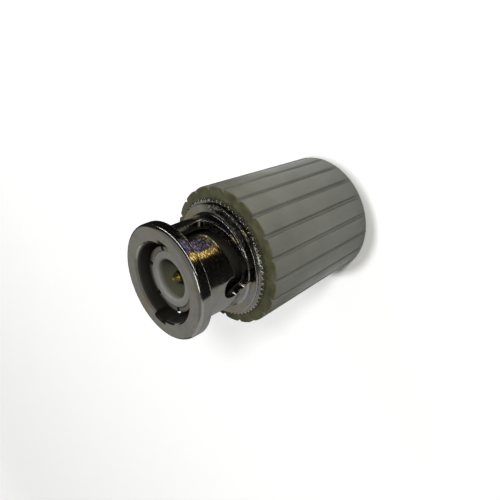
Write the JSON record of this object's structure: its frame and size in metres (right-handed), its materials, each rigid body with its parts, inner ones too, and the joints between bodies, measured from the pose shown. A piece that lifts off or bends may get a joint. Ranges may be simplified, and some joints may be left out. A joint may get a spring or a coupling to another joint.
{
  "type": "coaxial terminator",
  "caption": "Bayonet coaxial plug with a fluted plastic grip and a load resistor inside, which ends an open coaxial line.",
  "frame": {"origin": "middle of the flat closed rear end of the grip, which the part stands on", "axes": "+Z along the plug towards its mouth; the cam slots start at 135 and 315 degrees about +Z from +X"},
  "size_m": [0.0182, 0.0182, 0.0287],
  "materials": {
    "nickel": "bright nickel plate on turned brass, finely scratched",
    "grip_plastic": "grey moulded plastic, semi-matt",
    "insulator": "white fluoroplastic",
    "gold": "gold plate on brass",
    "spring_steel": "plain spring steel",
    "gasket_rubber": "silicone rubber",
    "ceramic": "lacquered ceramic",
    "tinned_wire": "tinned copper",
    "solder": "soft solder, bright"
  },
  "bodies": {
    "coupling": {"grip_sleeve": "grip_plastic", "coupling_nut": "nickel", "retaining_ring": "spring_steel", "wave_washer_rear": "spring_steel", "wave_washer_front": "spring_steel"},
    "washer": {"thrust_washer": "spring_steel"},
    "core": {"plug_body": "nickel", "outer_contact": "nickel", "gasket": "gasket_rubber", "front_insulator": "insulator", "rear_insulator": "insulator", "centre_pin": "gold", "front_solder": "solder", "front_lead": "tinned_wire", "rear_lead": "tinned_wire", "resistor_rod": "ceramic", "resistor_cap_front": "tinned_wire", "resistor_cap_rear": "tinned_wire", "end_cap": "nickel", "rear_solder": "solder"}
  },
  "joints": [
    {"name": "core_push", "type": "slide", "parent": "coupling", "child": "washer", "axis": [0, 0, 1], "range_m": [-0.0007, 0], "stiffness_N_per_m": 500, "springref_m": 0.002, "deforming": ["wave_washer_rear", "wave_washer_front"]},
    {"name": "coupling_turn", "type": "hinge", "parent": "washer", "child": "core", "pos_m": [0, 0, 0.0177], "axis": [0, 0, 1], "continuous": true}
  ]
}
